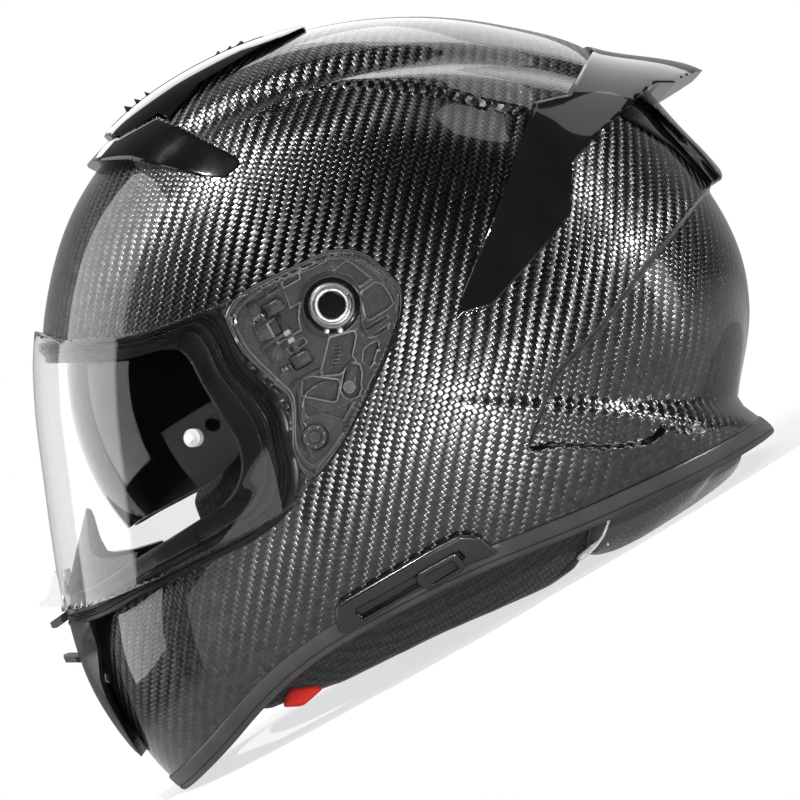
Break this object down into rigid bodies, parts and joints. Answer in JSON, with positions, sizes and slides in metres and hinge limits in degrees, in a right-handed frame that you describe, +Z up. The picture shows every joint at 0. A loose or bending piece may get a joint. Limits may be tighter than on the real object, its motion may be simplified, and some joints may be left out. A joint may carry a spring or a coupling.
{
  "type": "full face motorcycle helmet",
  "caption": "Full face helmet with a woven carbon shell, a swinging clear shield, a drop-down sun shield, sliding vents and a padded liner.",
  "frame": {"origin": "middle of the plane the helmet stands on, under the middle of its box", "axes": "+X from the chin towards the back of the head, +Y to the wearer's right, +Z up, with the helmet standing on its chin rim and neck roll"},
  "size_m": [0.3776, 0.2542, 0.2793],
  "materials": {
    "carbon": "clear-coated woven carbon composite",
    "liner_foam": "moulded black impact foam",
    "pad_fabric": "dimpled dark grey knit",
    "roll_fabric": "speckled black suede cloth",
    "piping_fabric": "white piping cord",
    "soft_rubber": "satin dark grey rubber",
    "shield_clear": "clear polycarbonate",
    "sun_tint": "dark tinted polycarbonate",
    "gloss_trim": "gloss black",
    "satin_trim": "satin black, finely grained",
    "hub_steel": "bright turned metal",
    "webbing": "woven black webbing",
    "tab_red": "red cloth tab"
  },
  "bodies": {
    "helmet": {"outer_shell": "carbon", "impact_liner": "liner_foam", "chin_liner": "liner_foam", "crown_pad": "pad_fabric", "cheek_pad_left": "pad_fabric", "cheek_pad_right": "pad_fabric", "neck_roll": "roll_fabric", "neck_piping": "piping_fabric", "rim_trim": "soft_rubber", "eyeport_gasket": "soft_rubber", "sun_slider_housing": "satin_trim", "base_plate_left": "satin_trim", "base_plate_right": "satin_trim", "pivot_pin_left": "satin_trim", "pivot_pin_right": "satin_trim", "latch_springs": "hub_steel", "base_screws": "hub_steel", "top_vent": "gloss_trim", "brow_vent": "gloss_trim", "rear_spoiler": "gloss_trim", "exhaust_hood": "carbon", "exhaust_channel": "gloss_trim", "chin_vent": "gloss_trim", "chin_vent_grille": "satin_trim", "breath_guard": "soft_rubber", "strap_left": "webbing", "strap_right": "webbing", "strap_rings": "hub_steel", "strap_anchors": "hub_steel", "release_tab_left": "tab_red", "release_tab_right": "tab_red"},
    "shield_assembly": {"shield": "shield_clear", "lens_pins": "hub_steel", "shield_hub_left": "hub_steel", "shield_hub_right": "hub_steel"},
    "sun_visor": {"sun_shield": "sun_tint", "sun_shield_pivots": "hub_steel"},
    "sun_slide_tab": {"sun_slider": "satin_trim"},
    "crown_slider": {"top_vent_slider": "satin_trim"},
    "chin_shutter": {"chin_vent_shutter": "satin_trim"},
    "lock_lever": {"shield_lock": "satin_trim"},
    "latch_left": {"shield_latch_left": "satin_trim"},
    "latch_right": {"shield_latch_right": "satin_trim"},
    "lever_left": {"release_lever_left": "satin_trim"},
    "lever_right": {"release_lever_right": "satin_trim"}
  },
  "joints": [
    {"name": "shield_pivot", "type": "hinge", "parent": "helmet", "child": "shield_assembly", "pos_m": [-0.00496, 0, 0.14988], "axis": [0, 1, 0], "range_deg": [0, 55]},
    {"name": "sun_shield_pivot", "type": "hinge", "parent": "helmet", "child": "sun_visor", "pos_m": [-0.0241, 0, 0.14072], "axis": [0, 1, 0], "range_deg": [0, 46]},
    {"name": "sun_slider_slide", "type": "slide", "parent": "helmet", "child": "sun_slide_tab", "axis": [-0.9976, 0.0699, 0.0009], "range_m": [0, 0.0283]},
    {"name": "crown_vent_slide", "type": "hinge", "parent": "helmet", "child": "crown_slider", "pos_m": [0.00054, 0, 0.1034], "axis": [0, 1, 0], "range_deg": [0, 3]},
    {"name": "chin_shutter_slide", "type": "slide", "parent": "helmet", "child": "chin_shutter", "axis": [-0.1533, 0, -0.9882], "range_m": [0, 0.008]},
    {"name": "shield_lock_pivot", "type": "hinge", "parent": "helmet", "child": "lock_lever", "pos_m": [-0.17595, 0, 0.09271], "axis": [0, 1, 0], "range_deg": [0, 15]},
    {"name": "release_lever_left_pivot", "type": "hinge", "parent": "helmet", "child": "lever_left", "pos_m": [-0.01547, 0, 0.11726], "axis": [0, -1, 0], "range_deg": [0, 20]},
    {"name": "latch_left_slide", "type": "slide", "parent": "helmet", "child": "latch_left", "axis": [-1, 0, 0], "range_m": [0, 0.0025], "stiffness_N_per_m": 20, "springref_m": -0.002, "deforming": ["latch_springs"]},
    {"name": "release_lever_right_pivot", "type": "hinge", "parent": "helmet", "child": "lever_right", "pos_m": [-0.01547, 0, 0.11726], "axis": [0, -1, 0], "range_deg": [0, 20]},
    {"name": "latch_right_slide", "type": "slide", "parent": "helmet", "child": "latch_right", "axis": [-1, 0, 0], "range_m": [0, 0.0025], "stiffness_N_per_m": 20, "springref_m": -0.002, "deforming": ["latch_springs"]}
  ],
  "couplings": [
    {"joint": "sun_slider_slide", "follows": "sun_shield_pivot", "m_per_rad": 0.03487},
    {"joint": "release_lever_left_pivot", "follows": "latch_left_slide", "rad_per_m": 137},
    {"joint": "release_lever_right_pivot", "follows": "latch_right_slide", "rad_per_m": 137}
  ]
}
